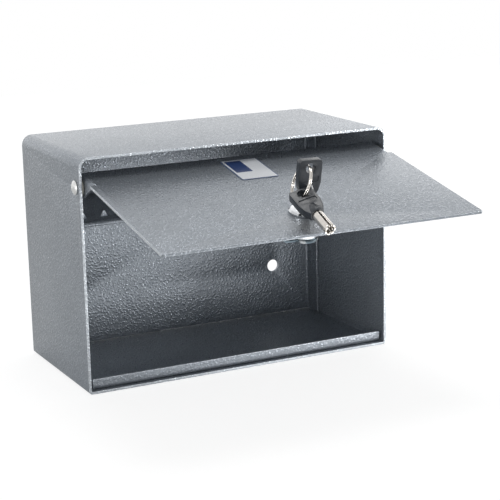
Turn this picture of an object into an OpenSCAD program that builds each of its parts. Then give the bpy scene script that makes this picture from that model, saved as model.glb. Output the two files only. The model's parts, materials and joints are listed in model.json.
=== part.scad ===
// Key drop box: a wall-mounted steel box with a flip-up door, a drop slot above
// the door, a toothed anti-fishing shelf and a tubular cam lock with two keys.
// Millimetres. The origin is the centre of the back face on the wall, +X is to
// the right, +Y is into the wall and +Z is up. The door stands open as drawn.

/* [Housing] */
// Width across the side walls
box_w = 254; // [200:1:320]
// Height from the bottom to the top
box_h = 176; // [150:1:230]
// Depth from the wall to the front rim
box_d = 124; // [100:1:160]
// Thickness of the coated housing and door sheet
sheet_t = 2; // [1.6:0.1:3]
// Outer radius of the two top bends
top_bend_r = 8; // [4:0.5:14]
// Outer radius of the two bottom bends
bottom_bend_r = 3; // [2.5:0.5:8]

/* [Back pan] */
// Depth of the pan's side flanges along the side walls
pan_flange = 18; // [10:1:30]
// Outer radius of the pan's bends
pan_bend_r = 4; // [2.5:0.5:8]
// Diameter of the four wall holes
wall_hole_d = 10; // [6:0.5:12]
// Distance between the left and right wall holes
wall_hole_w = 178; // [120:1:200]
// Distance between the lower and upper wall holes
wall_hole_h = 88; // [60:1:110]

/* [Sill] */
// Height of the sill lip above the housing's bottom face
sill_h = 10.5; // [8:0.5:16]
// Distance of the sill lip behind the front rim
sill_recess = 3; // [2.6:0.1:6]
// Length of the sill on the floor of the box
sill_leg = 16; // [10:1:30]
// Outer radius of the sill's bend
sill_bend_r = 3.5; // [2.5:0.5:5]
// Gap between each end of the sill and the side wall
sill_end_gap = 2.5; // [1:0.5:5]

/* [Shelf] */
// Distance of the shelf's front edge below the housing's top face
shelf_drop = 49; // [44:1:70]
// Distance of the shelf's front edge behind the front rim
shelf_recess = 6.5; // [5:0.5:12]
// Thickness of the shelf sheet
shelf_t = 1.5; // [1:0.1:2]
// Fall of the shelf towards the wall in degrees
shelf_fall = 1.2; // [0:0.1:5]
// Depth of the plate in front of the shelf's opening
shelf_strip = 60; // [40:1:64]
// Depth of the opening that keys fall through
shelf_gap = 34; // [30:1:36]
// Width of the strip at each end of that opening
shelf_side = 62; // [10:1:80]
// Depth of the shelf's flanges along the side walls
shelf_flange = 9; // [6:1:20]
// Distance of the row of teeth behind the shelf's front edge
tooth_row = 20; // [14:1:30]
// Number of teeth in the row
tooth_count = 15; // [9:2:15]
// Distance of the last tooth from the side wall
tooth_end = 6; // [3:0.5:12]
// Width of a tooth at its foot
tooth_w = 5.6; // [3:0.1:9]
// Height of a tooth
tooth_h = 4.2; // [2:0.1:6]

/* [Door] */
// Angle that the door stands open from its closed place
door_open = 78.7; // [0:0.1:128]
// Gap between each side of the door and the side wall
door_gap = 1; // [0.6:0.1:2]
// Distance of the hinge axis behind the door's outer face
hinge_back = 9; // [8:0.5:14]
// Distance of the hinge axis below the housing's top face
hinge_drop = 22.5; // [18:0.5:28]
// Distance of each ear inside the door's side edge
ear_set = 1.5; // [0:0.1:2]
// Length of the door above the hinge axis
door_up = 4.2; // [2:0.1:8]
// Height of the door's lower edge above the housing's bottom face
door_foot = 6.7; // [5:0.1:9]
// Radius of the ear around the hinge rivet
ear_r = 8; // [6:0.5:9]
// Length of the ear's foot below the hinge axis
ear_foot = 20; // [12:1:30]
// Outer radius of the bend between door and ear
ear_bend_r = 3; // [2.5:0.1:4]

/* [Hinge rivets] */
// Diameter of the rivet's shank
rivet_d = 5.5; // [4:0.1:8]
// Diameter of the rivet's head
rivet_head_d = 10.6; // [8:0.1:14]
// Height of the rivet's domed head
rivet_head_h = 2.4; // [1:0.1:4]
// Diameter of the rivet's closed end
rivet_tail_d = 8.4; // [6:0.1:12]
// Height of the rivet's closed end
rivet_tail_h = 1.8; // [1:0.1:3]
// Diameter of the steel washer inside the ear
washer_d = 13; // [9:0.5:16]
// Thickness of the steel washer
washer_t = 1; // [0.6:0.1:1.5]
// Diameter of the nylon spacer between wall and ear
spacer_d = 13; // [9:0.5:16]

/* [Label] */
// Width of the blank label plate
label_w = 30; // [15:1:60]
// Height of the blank label plate
label_h = 39; // [15:1:60]
// Thickness of the blank label plate
label_t = 0.4; // [0.2:0.1:1]
// Distance of the label's top edge below the hinge axis
label_drop = 4; // [2:0.5:20]

/* [Lock] */
// Distance of the lock's axis above the door's lower edge
lock_rise = 35.8; // [32:0.1:42]
// Diameter of the bezel on the door's face
bezel_d = 24; // [22:0.5:28]
// Height of the bezel
bezel_h = 2.6; // [1.5:0.1:4]
// Diameter of the threaded barrel
barrel_d = 19; // [16:0.5:20]
// Distance across the barrel's two flats
barrel_flats = 16; // [14.5:0.5:18]
// Length of the barrel behind the door's outer face
barrel_len = 16.3; // [15:0.1:28]
// Depth of the keyway below the door's outer face
keyway_depth = 4.7; // [3:0.1:8]
// Distance across the hexagon nut's flats
nut_flats = 23; // [21:0.5:26]
// Thickness of the hexagon nut
nut_t = 3.4; // [2.5:0.1:5]
// Thickness of the toothed washer under the nut
tooth_washer_t = 0.8; // [0.5:0.1:1.2]
// Turn of the lock from open to locked in degrees
lock_turn = 95; // [90:1:95]

/* [Lock works] */
// Diameter of the spindle's disc
disc_d = 12.9; // [11:0.1:13.4]
// Thickness of the spindle's disc
disc_t = 4; // [3:0.1:5]
// Diameter of the spindle behind the disc
spindle_d = 4.6; // [4:0.1:5]
// Distance across the flats of the spindle's end
spindle_flats = 3.4; // [3:0.1:4]
// Diameter of the pins
pin_d = 1; // [0.7:0.05:1]
// Number of pin stacks
pin_count = 7; // [5:1:7]
// Length of the pin block
block_len = 6.8; // [6.4:0.1:7.2]
// Depth of the pin holes in the block
pin_hole = 5.8; // [5:0.1:6.2]
// Length of a driver pin
driver_len = 2.4; // [1.5:0.1:3]
// Depth of the shallowest cut in a key's end
cut_min = 0.6; // [0.4:0.1:0.8]
// Step from one depth of cut to the next
cut_step = 0.6; // [0.3:0.1:0.7]
// Distance from the disc to the tip of the key in the lock
tip_gap = 0.55; // [0.4:0.05:1]
// Turns of wire in a pin spring
spring_turns = 5; // [3:1:8]
// Diameter of the pin spring's wire
spring_wire = 0.2; // [0.15:0.05:0.3]

/* [Cam] */
// Thickness of the cam
cam_t = 2; // [1.5:0.1:3]
// Radius of the cam's hub
cam_hub_r = 10.3; // [8:0.1:12]
// Clearance of the cam's tip above the sill when it is locked
cam_tip_gap = 1.9; // [1:0.1:3]
// Width of the cam's arm
cam_tip_w = 12; // [8:0.5:18]
// Distance that the cam's arm is stepped towards the door
cam_step = 10; // [4:0.5:10]
// Distance from the lock's axis to the start of the step
cam_step_r = 14.5; // [12:0.5:18]
// Thickness of the stop washer
stop_t = 0.8; // [0.5:0.1:1.2]
// Diameter of the cam screw's head
screw_head_d = 6.4; // [5:0.1:8]
// Height of the cam screw's head
screw_head_h = 2.6; // [1.5:0.1:4]
// Diameter of the cam screw's shank
screw_d = 2.4; // [2:0.1:2.4]
// Length of the cam screw's shank
screw_len = 6; // [5:0.5:7]
// Thickness of the washer under that screw
cam_washer_t = 0.6; // [0.4:0.1:1]
// Diameter of that washer
cam_washer_d = 9; // [7:0.1:12]

/* [Keys] */
// Outer diameter of a key's tube
tube_d = 8; // [7:0.1:9]
// Inner diameter of a key's tube
tube_bore = 6.2; // [5.2:0.1:7.2]
// Length of the tube that stands out of the key's head
tube_len = 17.5; // [14:0.5:24]
// Length of the tube inside the key's head
tube_seat = 6; // [4:0.5:9]
// Width of a key's head
head_w = 16.5; // [14:0.5:24]
// Length of a key's head
head_len = 26; // [20:0.5:34]
// Thickness of a key's head
head_t = 6; // [5:0.1:7]
// Diameter of the hole for the key ring
head_hole_d = 7.5; // [6:0.1:9]
// Distance of that hole from the head's end
head_hole_in = 5.8; // [5:0.1:9]

/* [Key ring] */
// Mean diameter of the split ring
ring_d = 26; // [22:0.5:32]
// Diameter of the ring's wire, which lies in two turns
ring_wire = 1.1; // [0.8:0.05:1.4]
// Ring centre from the lock's axis: right, up the door, out of the door
ring_at = [-5.7, -1, 22.7];
// Turns that lay the ring in its plane, about X, Y and Z in degrees
ring_turns = [0, 109, -9.5];
// Spare key's tube end: right, up the door, out of the door
spare_at = [-7, -47, 6.6];
// Turns of the spare key, about X, Y and Z in degrees
spare_turns = [-74, -15, -0.5];

/* [Fits] */
// Gap between pieces that are welded or seated together
seat_gap = 0.1; // [0.05:0.05:0.3]
// Radial clearance of the ears on their rivets and of the spindle
turn_gap = 0.06; // [0.02:0.01:0.1]
// Clearance of an ear between its washer and its spacer
ear_gap = 0.2; // [0.1:0.05:0.3]
// Clearance along the axis between the turning pieces of the lock
lock_gap = 0.05; // [0.02:0.01:0.1]
// Radial clearance of the pins in their holes
pin_gap = 0.04; // [0.02:0.01:0.05]
// Radial clearance of the key in its keyway
key_gap = 0.1; // [0.05:0.01:0.1]
// Clearance between pieces that pass one another
pass_gap = 0.3; // [0.2:0.05:0.6]

/* [Hidden] */
$fn = 64;

// Housing
inner_w = box_w - 2 * sheet_t;
inner_h = box_h - 2 * sheet_t;
floor_z = -inner_h / 2;
pan_w = inner_w - 2 * seat_gap;
sheet_bend = sheet_t + 0.5;          // a bend is never sharper than its sheet allows
pan_r = max(pan_bend_r, sheet_bend);
sill_r = max(sill_bend_r, sheet_bend);
ear_r_out = max(ear_bend_r, sheet_bend);

// Hinge axis, and the half width of the door across its ears
axis_y = -(box_d - hinge_back);
axis_z = box_h / 2 - hinge_drop;
door_x = inner_w / 2 - door_gap;
door_down = box_h - hinge_drop - door_foot;
lock_drop = door_down - lock_rise;
ear_x = door_x - ear_set;
ear_in = ear_x - sheet_t;
washer_x = ear_in - ear_gap;

// Shelf
shelf_w = inner_w - 2 * seat_gap;
shelf_r = shelf_t + 1;
shelf_len = box_d - shelf_recess - sheet_t - seat_gap;
shelf_sides = box_d - shelf_recess - pan_flange - pass_gap;
shelf_gap_w = inner_w - 2 * shelf_side;
tooth_pitch = (inner_w - tooth_w - 2 * tooth_end) / (tooth_count - 1);
shelf_rear_w = pan_w - 2 * (pan_r + pass_gap);
hem_len = 10;
hem_r = shelf_t + seat_gap / 2;
rear_flange = 10;

// Levels of the lock along its axis, from the door's outer face
disc_top = -keyway_depth - lock_gap;
shear_w = disc_top - disc_t;
block_top = shear_w - lock_gap;
stop_top = -barrel_len - lock_gap;
cam_top = stop_top - stop_t - lock_gap;
cam_low = cam_top - cam_t;
washer_top = cam_low - lock_gap;
screw_top = washer_top - cam_washer_t - lock_gap;
tip_w = disc_top + tip_gap;

// Radii of the lock
key_r = tube_d / 2 + key_gap;
post_r = tube_bore / 2 - key_gap;
disc_r = disc_d / 2;
chamber_r = disc_r + turn_gap;
pitch_r = (tube_d + tube_bore) / 4;
pin_hole_r = pin_d / 2 + pin_gap;
shaft_r = spindle_d / 2;
lug_w = 1;                           // width of the key's drive lug
lug_h = 0.6;                         // height of that lug inside the tube
stop_lug_r = [chamber_r + 0.7, 8.7]; // radii of the stop washer's lug
stop_lug_h = 1.2;
stop_lug_at = 47.5;                  // its angle from the cam's far side
stop_lug_half = 6;
pin_angles = [for (i = [0 : pin_count - 1]) 90 + 360 / pin_count * i];
cuts = [for (i = [0 : pin_count - 1]) cut_min + cut_step * ((i * 3 + 1) % 4)];

// Slanted stretch and whole run of a strip that is joggled at 45 degrees
function slant_len(rise, t, r) = (rise - (2 * r + t) * (1 - cos(45))) / sin(45);
function joggle_run(rise, t, r) = (2 * r + t) * sin(45) + slant_len(rise, t, r) * cos(45);
function bend(c, r, from, to) = [for (i = [0 : 6]) c + r * [cos(from + (to - from) * i / 6), sin(from + (to - from) * i / 6)]];
cam_bend_r = 1.5;
cam_len = lock_rise + door_foot - 2 * sheet_t - seat_gap - cam_tip_gap;
cam_step_end = cam_step_r + joggle_run(cam_step, cam_t, cam_bend_r);

// Angle of the cam and the key at rest, where the door is unlocked
rest_turn = 90 - lock_turn;

// The door's own frame has its origin on the hinge axis
module on_door()
    translate([0, axis_y, axis_z]) rotate([-door_open, 0, 0]) children();

// The lock's frame lies on the door's outer face, +Y up the door, +Z out of it
module on_lock()
    on_door() translate([0, -hinge_back, -lock_drop]) rotate([90, 0, 0]) children();

module on_rotor()
    on_lock() rotate(rest_turn) children();

module on_spare_key()
    on_lock() translate(spare_at) rotate(spare_turns) children();

// Sweeps an outline in Y and Z along X, or one in X and Z along Y from y0 to y1
module across(w)
    rotate([90, 0, 90]) linear_extrude(w, center = true) children();

module along_depth(y0, y1)
    translate([0, y1, 0]) rotate([90, 0, 0]) linear_extrude(y1 - y0) children();

module level(z0, z1)
    translate([0, 0, z0]) linear_extrude(z1 - z0) children();

// Folded outline of the housing with its own radii at the top and the bottom
module folded(w, h, rt, rb) {
    translate([-w / 2, rb - h / 2]) square([w, h - rt - rb]);
    translate([rt - w / 2, 0]) square([w - 2 * rt, h / 2]);
    translate([rb - w / 2, -h / 2]) square([w - 2 * rb, h / 2]);
    for (s = [-1, 1]) {
        translate([s * (w / 2 - rt), h / 2 - rt]) circle(rt);
        translate([s * (w / 2 - rb), rb - h / 2]) circle(rb);
    }
}

module rounded(w, h, r) folded(w, h, r, r);

// Sheet bent square: one leg along X, one along Y, the bend at the origin
module angle2d(a, b, t, r) {
    translate([r, 0]) square([a - r, t]);
    translate([0, r]) square([t, b - r]);
    intersection() {
        square(r);
        translate([r, r]) difference() {
            circle(r);
            circle(r - t);
        }
    }
}

// Circle with two flats, as on the barrel and the spindle's end
module flatted(d, flats, gap = 0)
    intersection() {
        circle(d / 2 + gap);
        square([flats + 2 * gap, d + 4 * gap], center = true);
    }

module wedge2d(a0, a1, r)
    polygon([[0, 0], for (i = [0 : 8]) r * [cos(a0 + (a1 - a0) * i / 8), sin(a0 + (a1 - a0) * i / 8)]]);

// Low dome on a straight rim, seated on the plane below it
module dome(d, h, rim) {
    rise = h - rim;
    r = (d * d / 4 + rise * rise) / (2 * rise);
    rotate_extrude() intersection() {
        square([d / 2, h]);
        union() {
            square([d / 2, rim]);
            translate([0, h - r]) circle(r);
        }
    }
}

// Round wire laid through rows of radius, angle and height
module coil(rows, wire, sides) {
    n = len(rows);
    points = [for (p = rows, k = [0 : sides - 1])
        let (r = p[0] + wire / 2 * cos(360 * k / sides))
        [r * cos(p[1]), r * sin(p[1]), p[2] + wire / 2 * sin(360 * k / sides)]];
    walls = [for (i = [0 : n - 2], k = [0 : sides - 1])
        let (a = i * sides + k, b = i * sides + (k + 1) % sides)
        each [[a, a + sides, b], [b, a + sides, b + sides]]];
    ends = [for (k = [1 : sides - 2])
        each [[0, k, k + 1], [(n - 1) * sides, (n - 1) * sides + k + 1, (n - 1) * sides + k]]];
    polyhedron(points, concat(walls, ends));
}

// Housing: one sheet folded round, welded to a pan that closes the back
module housing_shell() {
    color("gainsboro") difference() {
        along_depth(-box_d, 0) difference() {
            folded(box_w, box_h, top_bend_r, bottom_bend_r);
            folded(inner_w, inner_h, top_bend_r - sheet_t, bottom_bend_r - sheet_t);
        }
        translate([0, axis_y, axis_z]) rotate([0, 90, 0])
            cylinder(d = rivet_d + 2 * seat_gap, h = box_w + 2, center = true);
    }
}

// Pan with a flange along each side wall and four holes for the wall screws
module back_pan() {
    color("silver") difference() {
        intersection() {
            linear_extrude(box_h, center = true) for (s = [0, 1]) mirror([s, 0])
                translate([-pan_w / 2, 0]) mirror([0, 1])
                    angle2d(pan_w / 2 + 1, pan_flange, sheet_t, pan_r);
            along_depth(-pan_flange - 1, 1)
                folded(pan_w, inner_h - 2 * seat_gap,
                       top_bend_r - sheet_t, bottom_bend_r - sheet_t);
        }
        for (x = [-1, 1], z = [-1, 1])
            translate([x * wall_hole_w / 2, 0, z * wall_hole_h / 2]) rotate([90, 0, 0])
                cylinder(d = wall_hole_d, h = 3 * sheet_t, center = true);
    }
}

// Angle on the floor that the cam catches behind
module sill() {
    color("silver")
        translate([0, -box_d + sill_recess, floor_z + seat_gap])
            across(inner_w - 2 * sill_end_gap)
                angle2d(sill_leg, sill_h - sheet_t - seat_gap, sheet_t, sill_r);
}

// Shelf under the slot, in a frame with its origin on the front top edge
module shelf() {
    places = [for (i = [0 : tooth_count - 1]) (i - (tooth_count - 1) / 2) * tooth_pitch];
    color("darkgray")
        translate([0, -box_d + shelf_recess, box_h / 2 - shelf_drop]) rotate([-shelf_fall, 0, 0]) {
            difference() {
                union() {
                    along_depth(hem_r, shelf_sides) for (s = [0, 1]) mirror([s, 0])
                        translate([-shelf_w / 2, 0]) mirror([0, 1])
                            angle2d(shelf_w / 2 + 1, shelf_flange, shelf_t, shelf_r);
                    across(shelf_rear_w) translate([shelf_len, 0]) rotate(180)
                        angle2d(shelf_len - shelf_sides + 5, rear_flange, shelf_t, shelf_r);
                }
                translate([0, shelf_strip + shelf_gap / 2, 0])
                    cube([shelf_gap_w, shelf_gap, 4 * shelf_t], center = true);
                translate([-box_w / 2, -1, -shelf_flange - 1])
                    cube([box_w, hem_len + 2, shelf_flange + 1 - shelf_t]);
                for (x = places) translate([x, tooth_row, -2 * shelf_t])
                    linear_extrude(3 * shelf_t) tooth_outline();
            }
            across(shelf_w - 2 * shelf_r) {
                translate([hem_r, -hem_r]) circle(hem_r);
                translate([hem_r, -2 * hem_r]) square([hem_len - hem_r, shelf_t]);
            }
            for (x = places) along_depth(tooth_row - shelf_t, tooth_row)
                translate([x, 0]) tooth_outline(shelf_t / 2);
        }
}

// Tooth cut through the sheet and turned up at its foot, which leaves its own outline
module tooth_outline(foot = 0) {
    tip = tooth_w / 8;
    polygon([[-tooth_w / 2, -foot], [tooth_w / 2, -foot], [tooth_w / 2, 0],
             [tip, tooth_h], [-tip, tooth_h], [-tooth_w / 2, 0]]);
}

// Both hinges are alike, so each piece is drawn on the right and mirrored
module each_hinge()
    for (s = [0, 1]) mirror([s, 0, 0])
        translate([0, axis_y, axis_z]) rotate([0, 90, 0]) children();

module hinge_rivets() {
    inside = washer_x - washer_t - seat_gap;
    color("lightgray") each_hinge() {
        translate([0, 0, inside]) cylinder(d = rivet_d, h = box_w / 2 + seat_gap - inside);
        translate([0, 0, box_w / 2 + seat_gap]) dome(rivet_head_d, rivet_head_h, 0.5);
        translate([0, 0, inside]) mirror([0, 0, 1]) dome(rivet_tail_d, rivet_tail_h, 0.5);
    }
}

module hinge_washers() {
    color("silver") each_hinge() translate([0, 0, washer_x - washer_t]) difference() {
        cylinder(d = washer_d, h = washer_t);
        translate([0, 0, -1]) cylinder(d = rivet_d + 2 * seat_gap, h = washer_t + 2);
    }
}

module hinge_spacers() {
    spacer_t = door_gap + ear_set - seat_gap - ear_gap;
    color("ivory") each_hinge() translate([0, 0, ear_x + ear_gap]) difference() {
        cylinder(d = spacer_d, h = spacer_t);
        translate([0, 0, -1]) cylinder(d = rivet_d + 2 * seat_gap, h = spacer_t + 2);
    }
}

// Door: a flat sheet with an ear turned back at each end of its top edge
module door_panel() {
    notch = 1.5;
    flat_x = ear_x - ear_r_out;
    color("silver") on_door() difference() {
        union() {
            along_depth(-hinge_back, sheet_t - hinge_back) difference() {
                union() {
                    translate([0, -(door_down + ear_foot + notch) / 2])
                        folded(2 * door_x, door_down - ear_foot - notch, 0.4, 2);
                    translate([-flat_x, -ear_foot - notch - 5])
                        square([2 * flat_x, ear_foot + notch + 5 + door_up]);
                }
            }
            for (s = [0, 1]) mirror([s, 0, 0]) door_ear(flat_x);
        }
        translate([0, -hinge_back, -lock_drop]) rotate([90, 0, 0])
            linear_extrude(3 * sheet_t, center = true) flatted(barrel_d, barrel_flats, seat_gap);
    }
}

// Ear on the right, cut to a round end about the rivet
module door_ear(flat_x) {
    intersection() {
        linear_extrude(4 * box_h, center = true)
            translate([ear_x, -hinge_back]) mirror([1, 0])
                angle2d(ear_r_out + 1, hinge_back + ear_r, sheet_t, ear_r_out);
        translate([ear_x, 0, 0]) rotate([90, 0, 90])
            linear_extrude(2 * (ear_r_out + 2), center = true) difference() {
                union() {
                    circle(ear_r);
                    polygon([[-hinge_back, -ear_foot], [-hinge_back, door_up],
                             [0, ear_r], [ear_r * cos(40), -ear_r * sin(40)],
                             [ear_r_out - hinge_back, -ear_foot]]);
                }
                circle(rivet_d / 2 + turn_gap);
            }
    }
}

// Blank plate stuck on the door's outer face below the hinge
module label_plate() {
    color("white") on_door()
        along_depth(-hinge_back - seat_gap - label_t, -hinge_back - seat_gap)
            translate([0, -label_drop - label_h / 2]) rounded(label_w, label_h, 2);
}

// Lock shell: the bezel, and the barrel with its two flats
module lock_shell() {
    slot = 2;
    color("silver") on_lock() difference() {
        union() {
            rotate_extrude() polygon([[0, seat_gap], [bezel_d / 2, seat_gap],
                [bezel_d / 2, bezel_h * 0.55], [bezel_d / 2 - 1.3, bezel_h], [0, bezel_h]]);
            level(-barrel_len, bezel_h / 2) flatted(barrel_d, barrel_flats);
        }
        rotate_extrude() polygon([[0, -keyway_depth - 1], [key_r, -keyway_depth - 1],
            [key_r, bezel_h - 0.7], [key_r + 0.9, bezel_h + 0.2], [0, bezel_h + 0.2]]);
        translate([0, 0, -barrel_len - 1]) cylinder(r = chamber_r, h = barrel_len + 1 - keyway_depth);
        level(-barrel_len - 1, -barrel_len + stop_lug_h + 0.3)
            wedge2d(rest_turn + stop_lug_at - stop_lug_half - slot,
                    90 + stop_lug_at + stop_lug_half + slot, barrel_d);
        retaining_hole();
    }
}

// Hole in the barrel and the pin block for the retaining pin
module retaining_hole(gap = seat_gap)
    translate([disc_r - 1.2, 0, block_top - block_len / 2]) rotate([0, 90, 0])
        cylinder(d = 1.2 + 2 * gap, h = barrel_d);

module lock_nut() {
    low = -sheet_t - tooth_washer_t - 2 * seat_gap;
    color("lightgray") on_lock() difference() {
        intersection() {
            level(low - nut_t, low) circle(d = nut_flats / cos(30), $fn = 6);
            translate([0, 0, low]) mirror([0, 0, 1]) rotate_extrude()
                polygon([[0, 0], [nut_flats * 0.56, 0], [nut_flats * 0.56, nut_t - 0.8],
                         [nut_flats * 0.48, nut_t], [0, nut_t]]);
        }
        translate([0, 0, low - nut_t - 1]) cylinder(r = barrel_d / 2 + seat_gap, h = nut_t + 2);
    }
}

// Washer with teeth that bite the door's inner face
module tooth_washer() {
    teeth = 12;
    color("silver") on_lock()
        level(-sheet_t - seat_gap - tooth_washer_t, -sheet_t - seat_gap) difference() {
            circle(d = barrel_d + 6);
            circle(r = barrel_d / 2 + seat_gap);
            for (i = [0 : teeth - 1]) rotate(360 / teeth * (i + 0.5))
                translate([barrel_d / 2 + 1.6, -0.9]) square([5, 1.8]);
        }
}

// Pin block: it stays in the shell behind the disc and carries the springs
module pin_block() {
    color("goldenrod") on_lock() difference() {
        level(block_top - block_len, block_top) difference() {
            circle(chamber_r - seat_gap);
            circle(shaft_r + turn_gap);
        }
        for (a = pin_angles) rotate(a + rest_turn) translate([pitch_r, 0, block_top - pin_hole])
            cylinder(r = pin_hole_r, h = pin_hole + 1);
        retaining_hole();
    }
}

module driver_pins() {
    top = block_top - lock_gap;
    color("silver") on_lock() for (a = pin_angles) rotate(a + rest_turn)
        translate([pitch_r, 0, top - driver_len]) cylinder(d = pin_d, h = driver_len);
}

module pin_springs() {
    low = block_top - pin_hole + spring_wire;
    high = block_top - 2 * lock_gap - driver_len - spring_wire;
    steps = 8 * spring_turns;
    color("silver") on_lock() for (a = pin_angles) rotate(a + rest_turn)
        translate([pitch_r, 0, low])
            coil([for (i = [0 : steps]) [pin_d / 2 - spring_wire / 2, 45 * i, (high - low) * i / steps]],
                 spring_wire, 5);
}

module retaining_pin() {
    color("silver") on_lock() intersection() {
        retaining_hole(0);
        translate([-1, -5, -barrel_len]) cube([barrel_flats / 2 + 0.9, 10, barrel_len]);
    }
}

// Spindle: post, disc and shaft, with flats at the end for the cam
module lock_spindle() {
    color("lightgray") on_rotor() difference() {
        union() {
            translate([0, 0, disc_top - disc_t / 2]) cylinder(r = post_r, h = bezel_h - 0.8 - disc_top + disc_t / 2);
            translate([0, 0, shear_w]) cylinder(r = disc_r, h = disc_t);
            level(stop_top, shear_w + 1) circle(shaft_r);
            level(cam_low + 0.1, stop_top + 1) flatted(spindle_d, spindle_flats);
        }
        translate([-lug_w / 2 - key_gap, post_r - lug_h - key_gap, disc_top])
            cube([lug_w + 2 * key_gap, 3, bezel_h - disc_top]);
        for (a = pin_angles) rotate(a) translate([pitch_r, 0, shear_w - 1])
            cylinder(r = pin_hole_r, h = disc_t + 1);
        translate([0, 0, cam_low - 1])
            cylinder(d = screw_d + 2 * turn_gap, h = screw_top + screw_len + 0.3 - cam_low + 1);
    }
}

module key_pins() {
    color("gold") on_rotor() for (i = [0 : pin_count - 1]) rotate(pin_angles[i])
        translate([pitch_r, 0, shear_w])
            cylinder(d = pin_d, h = tip_w + cuts[i] - lock_gap - shear_w);
}

// Washer on the spindle whose lug meets the ends of the slot in the shell
module stop_washer() {
    color("silver") on_rotor() {
        level(stop_top - stop_t, stop_top) difference() {
            circle(stop_lug_r[1] + 0.3);
            flatted(spindle_d, spindle_flats, lock_gap);
        }
        level(stop_top - stop_t / 2, stop_top + stop_lug_h) intersection() {
            difference() {
                circle(stop_lug_r[1]);
                circle(stop_lug_r[0]);
            }
            wedge2d(stop_lug_at - stop_lug_half, stop_lug_at + stop_lug_half, barrel_d);
        }
    }
}

// Cam: a round hub and a straight arm, stepped towards the door
module cam() {
    color("lightgray") on_rotor() rotate(180) difference() {
        intersection() {
            translate([0, 0, cam_low]) rotate([90, 0, 0])
                linear_extrude(4 * cam_hub_r, center = true) cam_side(cam_t, cam_bend_r);
            level(cam_low - 1, cam_top + cam_step + 1) cam_plan();
        }
        level(cam_low - 1, cam_top + 1) flatted(spindle_d, spindle_flats, lock_gap);
    }
}

// Side of the cam: two level stretches joined by a slanted one through two bends
module cam_side(t, r) {
    foot = [cam_step_r, t + r];
    head = [cam_step_end, cam_step - r];
    polygon(concat([[-cam_hub_r - 1, 0]], bend(foot, r + t, -90, -45), bend(head, r, 135, 90),
                   [[cam_len + 1, cam_step], [cam_len + 1, cam_step + t]],
                   bend(head, r + t, 90, 135), bend(foot, r, -45, -90), [[-cam_hub_r - 1, t]]));
}

module cam_plan() {
    r = 2;
    half = cam_tip_w / 2;
    circle(cam_hub_r);
    translate([0, -half]) square([cam_len - r, cam_tip_w]);
    translate([cam_len - 2 * r, r - half]) square([2 * r, cam_tip_w - 2 * r]);
    for (s = [-1, 1]) translate([cam_len - r, s * (half - r)]) circle(r);
}

module cam_washer() {
    color("silver") on_rotor() level(washer_top - cam_washer_t, washer_top) difference() {
        circle(d = cam_washer_d);
        circle(r = screw_d / 2 + seat_gap);
    }
}

module cam_screw() {
    color("lightgray") on_rotor() difference() {
        union() {
            translate([0, 0, screw_top]) cylinder(d = screw_d, h = screw_len);
            translate([0, 0, screw_top]) mirror([0, 0, 1]) dome(screw_head_d, screw_head_h, 0.8);
        }
        for (a = [0, 90]) rotate(a)
            translate([0, 0, screw_top - screw_head_h])
                cube([screw_head_d * 0.55, 0.8, 2.4], center = true);
    }
}

// Tubular key: tip at the origin, head along +Z, width along X
module tube_of_key() {
    difference() {
        union() {
            difference() {
                cylinder(d = tube_d, h = tube_len + tube_seat);
                translate([0, 0, -1]) cylinder(d = tube_bore, h = tube_len + tube_seat + 2);
            }
            intersection() {
                translate([-lug_w / 2, tube_bore / 2 - lug_h, 0.4])
                    cube([lug_w, lug_h + 0.4, bezel_h + keyway_depth - 1]);
                cylinder(d = tube_d, h = tube_len);
            }
        }
        translate([-0.7, -tube_d, -1]) cube([1.4, tube_d - 1, tube_len + 2]);
        for (i = [0 : pin_count - 1]) rotate(pin_angles[i])
            translate([pitch_r, 0, -1]) cylinder(d = pin_d + 4 * pin_gap, h = 1 + cuts[i]);
    }
}

module head_outline() {
    neck = tube_d / 2 + 0.75;
    half = head_w / 2;
    corner = 2.2;
    polygon([[-neck, 0], [neck, 0], [half - 1.35, 4.2], [half, 10], [half, head_len - corner],
             [-half, head_len - corner], [-half, 10], [1.35 - half, 4.2]]);
    translate([corner - half, head_len / 2]) square([head_w - 2 * corner, head_len / 2]);
    for (s = [-1, 1]) translate([s * (half - corner), head_len - corner]) circle(corner);
}

// Head of a key: a flat grip with a round collar, a ring hole and a sunk panel
module head_of_key() {
    edge = 0.7;
    difference() {
        union() {
            intersection() {
                along_depth(-head_t / 2, head_t / 2) head_outline();
                rotate([90, 0, 90]) linear_extrude(head_w + 2, center = true)
                    polygon([[-head_t / 2, 0], [head_t / 2, 0], [head_t / 2, head_len - edge],
                             [head_t / 2 - edge, head_len], [edge - head_t / 2, head_len],
                             [-head_t / 2, head_len - edge]]);
            }
            rotate_extrude() polygon([[0, 0], [tube_d / 2 + 1, 0], [tube_d / 2 + 1.3, 0.8],
                [tube_d / 2 + 1, 3], [head_t / 2 - 0.2, 10.5], [0, 10.5]]);
        }
        translate([0, 0, -1]) cylinder(r = tube_d / 2 + seat_gap / 2, h = tube_seat + 1 + seat_gap);
        translate([0, 0, head_len - head_hole_in]) rotate([90, 0, 0])
            cylinder(d = head_hole_d, h = head_t + 2, center = true);
        for (s = [-1, 1]) translate([0, s * head_t / 2, 12.7])
            along_depth(-0.6, 0.6) rounded(head_w - 3.5, 4.4, 1);
    }
}

module key_tube() {
    color("silver") on_rotor() translate([0, 0, tip_w]) tube_of_key();
}

module key_head() {
    color("dimgray") on_rotor() translate([0, 0, tip_w + tube_len]) head_of_key();
}

module spare_tube() {
    color("silver") on_spare_key() tube_of_key();
}

module spare_head() {
    color("dimgray") on_spare_key() translate([0, 0, tube_len]) head_of_key();
}

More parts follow.
